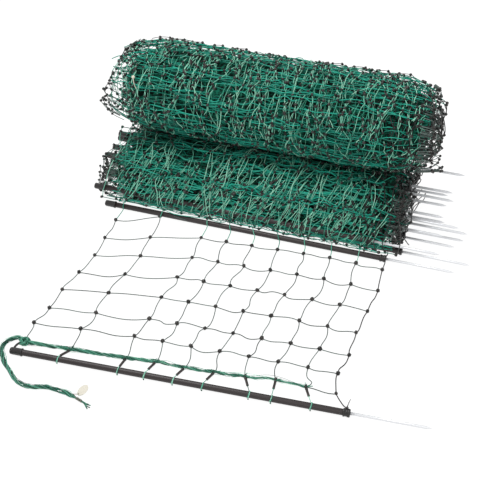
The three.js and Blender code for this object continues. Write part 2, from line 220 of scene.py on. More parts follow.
def twine(name, ink, dark, light, roughness=0.42, grain=900.0, gloss=0.3):
    """Twisted polythene: a strand's shade runs from ink over dark to light, finely streaked."""
    new, tree, surface = material(name, dark, roughness, gloss=gloss)
    nodes, links = tree.nodes, tree.links
    shade = nodes.new("ShaderNodeAttribute")
    shade.attribute_name = "shade"
    place = nodes.new("ShaderNodeTexCoord")
    noise = nodes.new("ShaderNodeTexNoise")
    noise.inputs["Scale"].default_value = grain
    noise.inputs["Detail"].default_value = 2
    links.new(place.outputs["Object"], noise.inputs["Vector"])
    streak = nodes.new("ShaderNodeMath")
    streak.operation = "MULTIPLY_ADD"
    links.new(noise.outputs["Fac"], streak.inputs[0])
    streak.inputs[1].default_value = 0.7
    streak.inputs[2].default_value = -0.35
    add = nodes.new("ShaderNodeMath")
    links.new(shade.outputs["Fac"], add.inputs[0])
    links.new(streak.outputs[0], add.inputs[1])
    ramp = nodes.new("ShaderNodeValToRGB")
    links.new(add.outputs[0], ramp.inputs["Fac"])
    ramp.color_ramp.elements[0].color = (*ink, 1)
    ramp.color_ramp.elements[1].color = (*light, 1)
    ramp.color_ramp.elements.new(0.35).color = (*dark, 1)
    links.new(ramp.outputs["Color"], surface.inputs["Base Color"])
    bump = nodes.new("ShaderNodeBump")
    bump.inputs["Strength"].default_value = 0.35
    bump.inputs["Distance"].default_value = 0.0004
    links.new(noise.outputs["Fac"], bump.inputs["Height"])
    links.new(bump.outputs["Normal"], surface.inputs["Normal"])
    return new


def put(piece, slot, *nodes):
    """Every piece rides on the root body, since nothing here moves."""
    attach(piece, "root")
    if nodes:
        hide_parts(*nodes)
    return piece


# INK is the darkest twine colour. Strands reach it at random, and near the bundle's ends through painted
# shade.
INK = (0.012, 0.022, 0.019)
lead_twine = twine("lead_twine", INK, (0.011, 0.070, 0.045), (0.060, 0.25, 0.165))
pale_twine = twine("pale_twine", INK, (0.03, 0.30, 0.20), (0.36, 0.70, 0.53))
tail_height = np.full(len(TAIL), TAIL_HEIGHT)
tail_height[0] = 8
tail_centre = smooth(np.column_stack([TAIL, tail_height]), 6)
to_end = run(tail_centre)[-1] - run(tail_centre)
tail_reach = 3.0 * np.interp(to_end, [0, 10, 16, 38, 46], [1.7, 0.8, 0.35, 0.35, 1])
tail_thickness = 1.5 * np.interp(to_end, [0, 16, 38, 50], [0.7, 0.55, 0.6, 1])
tail_strands = twist(tail_centre, 6, tail_reach, 66, 0.4)
lead_tail = put(tubes("tail_strands", tail_strands, tail_thickness, 7, lead_twine,
                      [0.2, 0.85, 0.5, 1, 0.35, 0.7]),
                "lead_cord", "lead_tail")
hair_centre = tail_centre[4:-20] + np.array([0, 0, 1.6])
tail_hairs = put(tubes("tail_filaments", twist(hair_centre, 5, 5.0, 150, 0.5), 0.35, 5, pale_twine),
                 "lead_cord")


# Tag: a bare oval of cream card, 28 by 17 mm, tied beside the lead on a thread through
# its narrow end, where a thin brown cord binds the strands.
TAG_PLACE = np.array([-128.0, -783.0, 0.0])
CARD_FROM_TIE = np.array([8.5, 22.5, 0])
CARD_HALF = (8.6, 14.0)
CARD_LEAN = math.radians(-14)
CARD_LIFT = 3.6
CARD_SLOPE = 0.16
OVAL_SIDES = 40
bind_centre = tail_centre[(to_end > 15) & (to_end < 40)]
bind_centre = smooth(bind_centre[::3], 14)
bind_path = twist(bind_centre, 1, 2.9, 2.6, 0.0)
cord_brown = twine("binding_cord", (0.05, 0.04, 0.035), (0.10, 0.085, 0.07), (0.34, 0.30, 0.25))
binding = put(tubes("tail_binding", bind_path, 0.55, 6, cord_brown, [0.7]), "lead_cord")

tag_card, tree, surface = material("tag_card", (0.62, 0.59, 0.51), 0.8, gloss=0.2)
grain = tree.nodes.new("ShaderNodeTexNoise")
grain.inputs["Scale"].default_value = 260
grain_bump = tree.nodes.new("ShaderNodeBump")
grain_bump.inputs["Strength"].default_value = 0.2
grain_bump.inputs["Distance"].default_value = 0.0003
tree.links.new(grain.outputs["Fac"], grain_bump.inputs["Height"])
tree.links.new(grain_bump.outputs["Normal"], surface.inputs["Normal"])

oval = np.arange(OVAL_SIDES) * 2 * math.pi / OVAL_SIDES
levels = [(0.93, 0.0), (1.0, 0.25), (1.0, 0.95), (0.93, 1.2)]
card = np.array([[(CARD_HALF[0] * k * math.sin(a), CARD_HALF[1] * k * math.cos(a), h) for a in oval]
                 for k, h in levels])
c, s = math.cos(CARD_LEAN), math.sin(CARD_LEAN)
card = card @ np.array([[c, s, 0], [-s, c, 0], [0, 0, 1]])
card[..., 2] += CARD_LIFT + CARD_SLOPE * card[..., 1]
card += TAG_PLACE + CARD_FROM_TIE
number = np.arange(card.shape[0] * OVAL_SIDES).reshape(-1, OVAL_SIDES)
card_walls = np.stack([number[:-1], np.roll(number[:-1], -1, 1), np.roll(number[1:], -1, 1),
                       number[1:]], -1).reshape(-1, 4)
card_faces = [card_walls, np.stack([number[0, ::-1], number[-1]])]
tag = put(mesh_piece("tag_oval", card, card_faces, tag_card), "tag_card", "lead_tag")
thread_path = smooth([(-128, -786, 3), (-131, -781, 9), (-127, -777, 7.5), (-124.4, -772.5, 5.0),
                      (-123.5, -770.5, 5.4), (-122.5, -773.5, 4.9), (-124.2, -777, 6.5),
                      (-126, -781, 10.5), (-125, -786, 3)], 6)
tag_thread = put(tubes("tag_thread", thread_path[None], 0.4, 6, cord_brown, [1]), "lead_cord")


# Lead: the same twisted strands, gathered along the first post from the lumpy knot at its
# top. One strand joins the net at every few lines, so only two are left near the bottom.
LINES = np.array([16.0, 120, 238, 300, 362, 424, 486, 548, 610, 672])
LEAD_OUT = np.array([33.0, 38, 43, 48, 46, 49, 52, 59, 54, 50])
lead_height = np.array([6.5, 4.5, 4.0, 3.6, 3.4, 3.2, 2.8, 2.6, 2.4, 2.2])
lead_centre = smooth(first(LINES, LEAD_OUT, lead_height)[:9], 26)
lead_at = np.linspace(0, 8, len(lead_centre))
lead_paths = []
for last, strand in ((2.1, 0), (3.2, 1), (6.1, 2), (8, 3), (8, 4)):
    kept = lead_centre[lead_at <= last]
    count = np.interp(np.linspace(0, last, 150), [0, 2, 3, 6, 8], [2.5, 2.4, 2.2, 1.6, 0.9])
    even = np.stack([np.interp(np.linspace(0, 1, 150), np.linspace(0, 1, len(kept)), kept[:, i])
                     for i in range(3)], -1)
    lead_paths.append(twist(even, 5, count, 58, 0.5)[strand])
put(tubes("lead_strands", np.array(lead_paths), 1.75, 8, lead_twine, [0.4, 0.9, 0.6, 1, 0.5]),
    "lead_cord", "lead_bundle")
hairs = np.concatenate([twist(lead_centre, 3, 3.4, 120, 0.9), twist(lead_centre, 2, 4.6, 210, 0.8)])
hairs[..., 2] = np.maximum(hairs[..., 2] + 0.8, 0.6)
put(tubes("lead_filaments", hairs, 0.35, 5, pale_twine), "lead_cord")

knot_angle = np.linspace(0, 2 * math.pi, 90)
knot_place = first(16, 33, 8)
knot_paths = []
for a, b, c, tilt, size in ((2, 3, 0.0, 0.3, 1.0), (3, 2, 1.1, 1.2, 0.95), (2, 3, 2.3, 2.2, 0.9)):
    t = knot_angle + c
    ring = np.stack([9.5 * np.cos(a * t) * (1 + 0.25 * np.cos(b * t)),
                     6.5 * np.sin(a * t) * (1 + 0.25 * np.cos(b * t)), 4.2 * np.sin(b * t)], -1) * size
    c, s = math.cos(tilt), math.sin(tilt)
    spin = np.array([[c, s, 0], [-s, c, 0], [0, 0, 1]])
    knot_paths.append(ring @ spin + knot_place)
put(tubes("lead_knot_strands", np.array(knot_paths), 2.0, 8, lead_twine, [0.5, 0.9, 1]),
    "lead_cord", "lead_knot")


# Net on the floor: ten lines that start at the first post and cross strands between them,
# joined by black knots that are welded on. Every strand lies in its own slack curve.
ROW_OUT = np.array([108.0, 168, 242, 318, 395, 474])
ROW_LEAN = np.array([-6.0, 7, 10, 23, 35, 34])
LINE_PULL = np.array([0.12, 0.06, 0, 0, 0, 0, 0, 0, 0.01, 0.03])
STRAND_RADIUS = 1.0
BOTTOM_RADIUS = 1.2
FLOOR_KNOT = 5.2
grey_twine = twine("grey_green_twine", INK, (0.035, 0.055, 0.048), (0.16, 0.21, 0.19))
black_twine = twine("black_twine", (0.004, 0.004, 0.004), (0.010, 0.010, 0.010), (0.05, 0.05, 0.048))
knot_plastic = twine("knot_plastic", (0.003, 0.003, 0.003), (0.009, 0.008, 0.007),
                     (0.03, 0.026, 0.024), roughness=0.3, grain=300, gloss=0.4)

golden = (1 + 5 ** 0.5) / 2
BEAD = unit(np.array([(0, a, b * golden) for a in (-1, 1) for b in (-1, 1)]
                     + [(a, b * golden, 0) for a in (-1, 1) for b in (-1, 1)]
                     + [(b * golden, 0, a) for a in (-1, 1) for b in (-1, 1)], float))


def bead_faces():
    """The twenty triangles between the twelve corners of a bead, facing out."""
    near = np.linalg.norm(BEAD[:, None] - BEAD[None], axis=-1) < 1.2
    found = []
    for i in range(12):
        for j in range(i + 1, 12):
            for k in range(j + 1, 12):
                if near[i, j] and near[j, k] and near[i, k]:
                    out = np.dot(np.cross(BEAD[j] - BEAD[i], BEAD[k] - BEAD[i]), BEAD[i]) > 0
                    found.append((i, j, k) if out else (i, k, j))
    return np.array(found)


BEAD_FACES = bead_faces()


def knots(name, places, size, finish):
    """Welded knots: slightly uneven beads."""
    places = np.array(places, float).reshape(-1, 3)
    places[:, 2] = np.maximum(places[:, 2], 1.1 * size)
    count = len(places)
    axes = np.linalg.qr(random.normal(size=(count, 3, 3)))[0]
    swell = size * (0.85 + 0.3 * random.random((count, 1, 3)))
    corners = (BEAD[None] * swell) @ axes + places[:, None]
    faces = (BEAD_FACES[None] + 12 * np.arange(count)[:, None, None]).reshape(-1, 3)
    shade = np.repeat(random.random(count), 12)
    return mesh_piece(name, corners, [faces], finish, shade)


def slack(start, end, steps, bow, wave):
    """Curved strands between pairs of points, bowed and waved along given directions."""
    t = np.linspace(0, 1, steps + 1)[:, None]
    bow, wave = np.asarray(bow)[..., None, :], np.asarray(wave)[..., None, :]
    straight = start[..., None, :] * (1 - t) + end[..., None, :] * t
    return straight + 4 * t * (1 - t) * bow + np.sin(2 * math.pi * t) * wave


apron_knots = np.array([[first(LINES[l] + ROW_LEAN[r], ROW_OUT[r] * (1 - LINE_PULL[l]), 4.4)
                         for r in range(6)] for l in range(10)])
lead_points = first(LINES, LEAD_OUT, lead_height)


def flat_slack(start, end, steps, size):
    """Slack strands on the floor."""
    bow = random.normal(size=start.shape) * size * np.array([1, 1, 0.1])
    wave = random.normal(size=start.shape) * 0.55 * size * np.array([1, 1, 0.1])
    path = slack(start, end, steps, bow, wave)
    path[..., 2] = np.maximum(path[..., 2] - 2.2 * np.sin(math.pi * np.linspace(0, 1, steps + 1)), 1.0)
    return path


line_points = np.concatenate([lead_points[:, None], apron_knots], 1)
apron_lines = flat_slack(line_points[:, :-1], line_points[:, 1:], 14, 4.0)
apron_cross = flat_slack(apron_knots[:-1], apron_knots[1:], 16, 3.6)
put(tubes("apron_lines", apron_lines[:9].reshape(-1, 15, 3), STRAND_RADIUS, 8, grey_twine,
          0.3 + 0.4 * random.random(54)), "net_twine", "apron_net")
put(tubes("apron_bottom_line", apron_lines[9], BOTTOM_RADIUS, 8, black_twine), "net_twine")
put(tubes("apron_cross_strands", apron_cross.reshape(-1, 17, 3), STRAND_RADIUS, 8, grey_twine,
          0.3 + 0.4 * random.random(54)), "net_twine")
put(knots("apron_knots", apron_knots, FLOOR_KNOT, knot_plastic), "net_knots")


# First post: a dark extruded plastic tube, finely ribbed along its length, closed by a
# moulded cap with a strap that holds the lead's knot, and a steel spike in a black foot.
def turned(name, profile, sides, finish, place, rib=0.0):
    """A turned piece along X from (x, radius) points; place moves it to where it lies."""
    profile = np.array(profile, float)
    angle = np.arange(sides) * 2 * math.pi / sides
    swell = 1 - rib * (np.arange(sides) % 2)
    radius = profile[:, 1, None] * swell
    points = np.stack([np.broadcast_to(profile[:, 0, None], radius.shape), radius * np.cos(angle),
                       radius * np.sin(angle)], -1)
    number = np.arange(len(profile) * sides).reshape(-1, sides)
    a, b = number[:-1], number[1:]
    walls = np.stack([a, np.roll(a, -1, 1), np.roll(b, -1, 1), b], -1).reshape(-1, 4)
    ends = np.stack([number[0, ::-1], number[-1]])
    return mesh_piece(name, place(points), [walls[:, ::-1], ends[:, ::-1]], finish)


def plastic(name, colour, tint, roughness, grain, depth):
    """Plastic with soft flow streaks along X and a fine grain."""
    new, tree, surface = material(name, colour, roughness)
    nodes, links = tree.nodes, tree.links
    place = nodes.new("ShaderNodeTexCoord")
    stretch = nodes.new("ShaderNodeMapping")
    stretch.inputs["Scale"].default_value = (12, 420, 420)
    noise = nodes.new("ShaderNodeTexNoise")
    noise.inputs["Detail"].default_value = 3
    links.new(place.outputs["Object"], stretch.inputs["Vector"])
    links.new(stretch.outputs["Vector"], noise.inputs["Vector"])
    mix = nodes.new("ShaderNodeMix")
    mix.data_type = "RGBA"
    links.new(noise.outputs["Fac"], mix.inputs["Factor"])
    mix.inputs["A"].default_value = (*colour, 1)
    mix.inputs["B"].default_value = (*tint, 1)
    links.new(mix.outputs["Result"], surface.inputs["Base Color"])
    fine = nodes.new("ShaderNodeTexNoise")
    fine.inputs["Scale"].default_value = grain
    links.new(place.outputs["Object"], fine.inputs["Vector"])
    bump = nodes.new("ShaderNodeBump")
    bump.inputs["Strength"].default_value = 0.3
    bump.inputs["Distance"].default_value = depth
    links.new(fine.outputs["Fac"], bump.inputs["Height"])
    links.new(bump.outputs["Normal"], surface.inputs["Normal"])
    return new


post_plastic = plastic("post_plastic", (0.012, 0.008, 0.008), (0.026, 0.018, 0.018), 0.44, 700, 0.0002)
black_plastic = plastic("black_plastic", (0.005, 0.004, 0.004), (0.013, 0.011, 0.011), 0.40, 500, 0.0003)
sleeve_plastic = plastic("sleeve_plastic", (0.016, 0.010, 0.010), (0.030, 0.020, 0.019), 0.22, 500,
                         0.0002)


def along_first(points):
    return first(points[..., 0], points[..., 1], points[..., 2] + REST_HEIGHT)


put(turned("first_tube", [(3.3, 5.6), (3.3, 6.5), (4, 6.5), (350, 6.5), (699, 6.5), (700, 6.1),
                          (700, 3.5)], 48, post_plastic, along_first, rib=0.014), "post_plastic", "first_post")
put(turned("first_cap_sleeve", [(0.4, 5.2), (0, 5.6), (0.4, 6.6), (2.6, 7.5), (3.6, 7.5), (4.2, 7.1),
                                (5, 7.1), (5.6, 7.7), (23.4, 7.7), (24, 8.1), (24.4, 8.5),
                                (26.4, 8.5), (27, 8.0), (27, 6.9)], 40, black_plastic, along_first), "black_plastic", "first_cap")
put(turned("first_foot_sleeve", [(694, 6.9), (694, 8.2), (694.5, 8.5), (697, 8.5), (697.6, 7.6),
                                 (702, 7.6), (702.6, 8.5), (706.6, 8.5), (707.4, 8.1), (708, 6.5),
                                 (708, 3.3)],
           40, black_plastic, along_first), "black_plastic", "first_foot")
strap_path = first([4.3, 4.3, 6, 12], [6.5, 11, 20, 30], [8.5, 8.5, 8.5, 8.5])
put(tubes("cap_strap", smooth(strap_path, 8)[None], 2.3, 10, black_plastic), "black_plastic")

spike_steel, tree, surface = material("spike_steel", (0.72, 0.73, 0.75), 0.3, 0.3)
place = tree.nodes.new("ShaderNodeTexCoord")
stretch = tree.nodes.new("ShaderNodeMapping")
stretch.inputs["Scale"].default_value = (30, 600, 600)
grain = tree.nodes.new("ShaderNodeTexNoise")
tree.links.new(place.outputs["Object"], stretch.inputs["Vector"])
tree.links.new(stretch.outputs["Vector"], grain.inputs["Vector"])
rough = tree.nodes.new("ShaderNodeMapRange")
rough.inputs["To Min"].default_value = 0.18
rough.inputs["To Max"].default_value = 0.42
tree.links.new(grain.outputs["Fac"], rough.inputs["Value"])
tree.links.new(rough.outputs["Result"], surface.inputs["Roughness"])
SPIKE = [(-40, 0.3), (-40, 3.1), (151, 3.1), (153, 2.95), (162, 0.9), (165, 0.2)]
put(turned("first_spike_rod", [(x + 700, r) for x, r in SPIKE], 20, spike_steel, along_first),
    "spike_steel", "first_spike")


# Ties: pale thread looped round the post, and through a black sleeve that keeps each line
# of the net off the post; a small moulded end sits where the sleeve meets the lead.
TIE_SLIP = [-16, -4, -10, -12, -13, 20, 3, 20]
LEAD_RADII = [4.5, 4.5, 3.2, 3.2, 3.2, 3.2, 2.0, 2.0]
rings, threads, sleeves, tie_ends, tie_knots, tufts = [], [], [], [], [], []
RING_REACH = 7.3
SLEEVE_LENGTH = 24
SLEEVE_RADIUS = 2.7
FROM_LEAD = 2.5
turn = np.linspace(0, 2 * math.pi, 33)
for i, slip in enumerate(TIE_SLIP):
    line = i + 1
    start_u = LINES[line] + slip
    for shift, lean in ((0, 2.2), (1.7, 1.2)):
        rings.append(first(start_u + shift + lean * np.sin(turn), RING_REACH * np.cos(turn),
                           np.maximum(REST_HEIGHT + RING_REACH * np.sin(turn), 0.8)))
    start = first(start_u, 7.4, REST_HEIGHT + 0.6)
    end = first(LINES[line], LEAD_OUT[line], LEAD_RADII[i])
    span = np.linalg.norm(end - start)
    clear = span - LEAD_RADII[i] - FROM_LEAD
    near = start + (end - start) * (clear - SLEEVE_LENGTH) / span
    far = start + (end - start) * clear / span
    threads.append(slack(start, near + 0.2 * (far - near), 8, np.array([0, 0, -0.6]), np.zeros(3)))
    sleeves.append(slack(near, far, 8, np.array([0, 0, 0.3]), np.zeros(3)))
    tie_ends.append(far + 0.12 * (near - far) + np.array([0, 0, 1.2]))
    tie_knots.append(first(start_u + 1, -6.6, 2.6))
    for k in range(4):
        away = first(LINES[line] + random.normal() * 6, LEAD_OUT[line] + random.normal() * 5, 5 + 2 * k)
        back = first(LINES[line] + random.normal() * 4, LEAD_OUT[line] + random.normal() * 3, 3)
        tufts.append(np.stack([end, (end + away) / 2 + random.normal(size=3), away, back]))
put(tubes("tie_rings", np.array(rings), 0.75, 6, pale_twine), "lead_cord",
    *[f"tie_{n}" for n in range(1, 9)])
put(tubes("tie_threads", np.array(threads), 0.8, 6, pale_twine), "lead_cord")
put(tubes("insulators", np.array(sleeves), SLEEVE_RADIUS, 14, sleeve_plastic), "black_plastic",
    *[f"insulator_{n}" for n in range(1, 9)])
put(knots("insulator_ends", tie_ends, 3.8, knot_plastic), "black_plastic")
put(knots("tie_knots", tie_knots, 1.7, lead_twine), "lead_cord")
put(tubes("lead_tufts", np.array([smooth(t, 8) for t in tufts]), 0.55, 6, lead_twine), "lead_cord")
put(knots("lead_line_knots", lead_points[6:] + np.array([0, 0, 1.5]), 4.0, knot_plastic), "net_knots")
put(tubes("lead_last_strand", slack(lead_points[8:9], lead_points[9:], 12, np.array([0, -2, 0]),
                                    np.array([0, 1.5, 0])), STRAND_RADIUS, 8, grey_twine, [0.4]),
    "net_twine")
hook_path = smooth(np.concatenate([lead_points[9:], first([680, 692, 700, 701], [36, 18, 9, 3],
                                                         [4, 7, 12, 16.5])]), 8)
put(tubes("foot_strand", hook_path[None], BOTTOM_RADIUS, 8, black_twine), "net_twine")
foot_ends = [smooth(first([700, 701, 702 + k], [9, 12 + k, 16 + 2 * k], [12, 16, 22 + 2 * k]), 6)
             for k in (-2, 0, 2)]
put(tubes("foot_strand_ends", np.array(foot_ends), 0.7, 6, black_twine), "net_twine")
put(knots("foot_knot", [first(700, 9, 12)], 3.6, knot_plastic), "net_knots")


# Bundled posts: fifteen posts like the first one, with the same caps and feet, side by side
# in the folded net. Their spikes stand out of its right end, and a few caps out of its left.
TUBE = [(-673.5, 6.5), (-350, 6.5), (-1, 6.5), (0, 6.1), (0, 3.4)]
CAP = [(-699.6, 5.2), (-700, 5.6), (-699.6, 6.6), (-697.4, 7.5), (-676.6, 7.7), (-676, 8.1),
       (-675.6, 8.5), (-673.6, 8.5), (-673, 8), (-673, 6.6)]
FOOT = [(-6, 6.9), (-6, 8.2), (-5.5, 8.5), (-3, 8.5), (-2.4, 7.6), (2, 7.6), (2.6, 8.5), (6.6, 8.5),
        (7.4, 8.1), (8, 6.5), (8, 3.3)]
STACK_END = 370
FRONT_ROW = -119
ROW_PITCH = 26
LEVEL_PITCH = 27
REACH = 165
BUNDLED = [
    (-1.46, 0, 146, 0.2), (0, 0, 176, -0.1), (-0.7, 1, 107, -0.2), (2.2, 0, 132, -0.5),
    (3.4, 0, 149, 0.3), (2.1, 1, 102, 0.1), (3.1, 1, 155, -0.1), (4.2, 1, 96, 0.4),
    (2.3, 2, 134, -0.3), (3.5, 2, 93, 0.2), (5.4, 2, 93, 0.8), (7.1, 2, 88, 0.5),
    (4.8, 3, 108, -0.6), (6.1, 3, 101, 0.4), (7.9, 3.9, 120, 0.7),
]
for n, (row, level, past, degrees) in enumerate(BUNDLED, 1):
    c, s = math.cos(math.radians(degrees)), math.sin(math.radians(degrees))
    foot = np.array([STACK_END + past - REACH * c, FRONT_ROW + ROW_PITCH * row - REACH * s,
                     REST_HEIGHT + LEVEL_PITCH * level])

    def in_bundle(points, c=c, s=s, foot=foot):
        x, y, z = points[..., 0], points[..., 1], points[..., 2]
        return np.stack([x * c - y * s, x * s + y * c, z], -1) + foot

    put(turned(f"post_{n:02d}_tube", TUBE, 24, post_plastic, in_bundle, rib=0.014), "post_plastic",
        f"post_{n:02d}")
    put(turned(f"post_{n:02d}_cap", CAP, 24, black_plastic, in_bundle), "black_plastic")
    put(turned(f"post_{n:02d}_foot", FOOT, 24, black_plastic, in_bundle), "black_plastic")
    put(turned(f"spike_{n:02d}_rod", SPIKE, 14, spike_steel, in_bundle), "spike_steel", f"spike_{n:02d}")


# Folded net: layers of it laid to and fro over and between the posts. The lines turn round
# each fold, and the cross strands run along the bundle.
ACROSS = LINES - LINES[0]
NET_HEIGHT = ACROSS[-1]
ROW_STEP = 80.0
NET_KNOT = 4.2
LINE_RADIUS = 0.85
CROSS_RADIUS = 1.1
green_twine = twine("green_twine", INK, (0.003, 0.115, 0.080), (0.008, 0.36, 0.25))


def weave(name, place, rows, jitter, bow, steps, replaced=(), ink=None, inside=None):
    """A stretch of net with so many rows of knots. place(run, across, lift) gives its shape,
    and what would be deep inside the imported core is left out."""
    s = np.arange(rows)[:, None] * ROW_STEP + random.normal(size=(rows, 10)) * jitter
    across = ACROSS + random.normal(size=(rows, 10)) * jitter
    lift = random.normal(size=(rows, 10)) * 0.35 * jitter
    net = np.stack(np.broadcast_arrays(s, across, lift), -1)
    size = np.array([bow, bow, 0.5 * bow])

    def curved(start, end):
        path = slack(start, end, steps, random.normal(size=start.shape) * size,
                     random.normal(size=start.shape) * size * 0.6)
        path = place(path[..., 0], path[..., 1], path[..., 2]).reshape(-1, steps + 1, 3)
        return path if inside is None else path[~inside(path).all(-1)]

    def shades(path, low, high):
        shade = low + (high - low) * random.random(path.shape[:-2])[..., None]
        shade = np.broadcast_to(shade, path.shape[:-1])
        # Painted shade: ink scales the shade down towards the bundle's ends, so the strands there turn towards
        # the ink colour.
        return shade if ink is None else shade * ink(path)

    lines = curved(net[:-1, :9], net[1:, :9])
    bottom = curved(net[:-1, 9], net[1:, 9])
    cross = curved(net[:, :-1], net[:, 1:])
    places = place(net[..., 0], net[..., 1], net[..., 2]).reshape(-1, 3)
    if inside is not None:
        places = places[~inside(places)]
    put(tubes(f"{name}_lines", lines, LINE_RADIUS, 4, pale_twine, shades(lines, 0.2, 1)), "net_twine",
        *replaced)
    put(tubes(f"{name}_cross_strands", cross, CROSS_RADIUS, 4, green_twine, shades(cross, 0.3, 1)),
        "net_twine")
    put(tubes(f"{name}_bottom_line", bottom, BOTTOM_RADIUS, 4, black_twine), "net_twine")
    put(knots(f"{name}_knots", places, NET_KNOT, knot_plastic), "net_knots")


def shaded_packed_net(name):
    """The net deep in the bundle, in painted shade: near-black gaps between dark green strands that lie along
    X, darker than the twine for the shadow deep inside.
    """
    new, tree, surface = material(name, (0.004, 0.03, 0.02), 0.8, gloss=0.1)
    nodes, links = tree.nodes, tree.links
    place = nodes.new("ShaderNodeTexCoord")
    total = None
    for scale in ((9, 330, 330), (140, 60, 60)):
        stretch = nodes.new("ShaderNodeMapping")
        stretch.inputs["Scale"].default_value = scale
        noise = nodes.new("ShaderNodeTexNoise")
        noise.inputs["Scale"].default_value = 1
        noise.inputs["Detail"].default_value = 4
        noise.inputs["Distortion"].default_value = 0.6
        links.new(place.outputs["Object"], stretch.inputs["Vector"])
        links.new(stretch.outputs["Vector"], noise.inputs["Vector"])
        if total is None:
            total = noise.outputs["Fac"]
            continue
        product = nodes.new("ShaderNodeMath")
        product.operation = "MULTIPLY"
        links.new(total, product.inputs[0])
        links.new(noise.outputs["Fac"], product.inputs[1])
        total = product.outputs[0]
    ramp = nodes.new("ShaderNodeValToRGB")
    ramp.color_ramp.elements[0].position = 0.22
    ramp.color_ramp.elements[0].color = (0.001, 0.006, 0.004, 1)
    ramp.color_ramp.elements[1].position = 0.34
    ramp.color_ramp.elements[1].color = (0.006, 0.13, 0.08, 1)
    links.new(total, ramp.inputs["Fac"])
    links.new(ramp.outputs["Color"], surface.inputs["Base Color"])
    bump = nodes.new("ShaderNodeBump")
    bump.inputs["Strength"].default_value = 0.9
    bump.inputs["Distance"].default_value = 0.003
    links.new(total, bump.inputs["Height"])
    links.new(bump.outputs["Normal"], surface.inputs["Normal"])
    return new


def core_piece(name, rings, finish):
    """A closed body through rings of points from one end to the other."""
    rings = np.asarray(rings, float)
    number = np.arange(rings.shape[0] * rings.shape[1]).reshape(rings.shape[:2])
    a, b = number[:-1], number[1:]
    walls = np.stack([a, np.roll(a, -1, 1), np.roll(b, -1, 1), b], -1).reshape(-1, 4)
    return mesh_piece(name, rings, [walls, np.stack([number[0, ::-1], number[-1]])], finish)


FOLD_LENGTH = 285.0
LAYERS = 120
STACK_TOP = 134.0
FRONT_HEIGHTS = [0, 14, 34, 62, 92, 122, 135]
FRONT_EDGE = [-128, -137, -139, -126, -104, -74, -46]
BACK_HEIGHTS = [0, 40, 84, 118, 135]
BACK_EDGE = [142, 156, 150, 132, 104]
layer_shift = 40 * np.sin(np.arange(LAYERS + 2) * 0.95) + 9 * random.normal(size=LAYERS + 2)
layer_front = 4 * random.normal(size=LAYERS + 2)


def near_end(x, low, high, distances, sizes):
    """A size that depends on the distance to the nearer end."""
    return np.interp(np.minimum(x - low, high - x), distances, sizes)


def folded(s, across, lift):
    layer = np.clip(np.floor(s / FOLD_LENGTH), 0, LAYERS)
    part = np.clip(s / FOLD_LENGTH - layer, 0, 1)
    number = layer.astype(int)
    depth = np.where(number % 2 == 0, part, 1 - part)
    x = 5 + across - NET_HEIGHT / 2 + np.interp(layer + part, np.arange(LAYERS + 2), layer_shift)
    z = 3 + (STACK_TOP - 6) * (layer + part) / LAYERS + lift * 1.6 + 3 * np.sin(x / 47 + number)
    size = near_end(x, -372, 382, [0, 60, 150], [0.78, 0.93, 1])
    z = np.clip(z * size, 1.2, STACK_TOP)
    front = np.interp(z, FRONT_HEIGHTS, FRONT_EDGE) + 2 + np.abs(layer_front[number])
    back = np.interp(z, BACK_HEIGHTS, BACK_EDGE) - 4
    y = front + depth * (back - front) + 2.5 * np.sin(x / 31 + 2.3 * number)
    return np.stack([x, y, z], -1)


# Painted shade: the strands darken within about 30 mm of the stack's ends, down to a fifth of their shade.
def stack_end_shade(path):
    return near_end(path[..., 0], -376, 384, [0, 14, 32], [0.2, 0.55, 1])


CORE_INSET = 15.0


def in_stack_core(p):
    x, y, z = p[..., 0], p[..., 1], p[..., 2]
    deep = CORE_INSET + 5 + near_end(x, -330, 345, [-1, 0, 25, 70], [999, 40, 12, 0])
    return (y > np.interp(z, FRONT_HEIGHTS, FRONT_EDGE) + deep) & (z < STACK_TOP - 0.5 * deep) \
        & (y < np.interp(z, BACK_HEIGHTS, BACK_EDGE) - deep)


weave("stack", folded, int(LAYERS * FOLD_LENGTH / ROW_STEP), 7, 7, 5, ["netting_stack"], stack_end_shade,
      in_stack_core)
# Painted shade: a dark core under the outer layers of the fold stands for the shadowed net deep inside.
packed_in_shade = shaded_packed_net("shaded_packed_net")
core_rings = []
for x in np.linspace(-325, 340, 40):
    inset = CORE_INSET + near_end(x, -325, 340, [0, 20, 70], [30, 8, 0])
    ring = [(y + inset, z) for y, z in zip(FRONT_EDGE, FRONT_HEIGHTS)][:-1]
    ring += [(-46 + inset, STACK_TOP - 0.5 * inset), (104 - inset, STACK_TOP - 0.5 * inset)]
    ring += [(y - inset, z) for y, z in zip(BACK_EDGE, BACK_HEIGHTS)][-2::-1]
    ripple = 1 + 0.02 * math.sin(x / 13)
    core_rings.append([(x, y * ripple, max(min(z, STACK_TOP - 0.5 * inset), 2)) for y, z in ring])
put(core_piece("stack_core", core_rings, packed_in_shade), "net_twine")


# Rolled net: the rest of it, rolled up loosely on top. The lines run round the roll, and
# each turn has slipped to one side, so the black bottom line shows in bands at the right.
ROLL_MIDDLE = (50.0, 245.3)
ROLL_HALF = (123.0, 107.0)
ROLL_RADIUS = 118.0
ROLL_CORE = 10.0
ROLL_PITCH = 1.45
roll_phase = random.random(4) * 2 * math.pi


def roll_size(x):
    """How wide the roll is at x, as a share of its middle: it tapers to both ends."""
    return near_end(x, -408, 448, [0, 30, 75, 120, 170], [0.52, 0.74, 0.9, 0.98, 1])


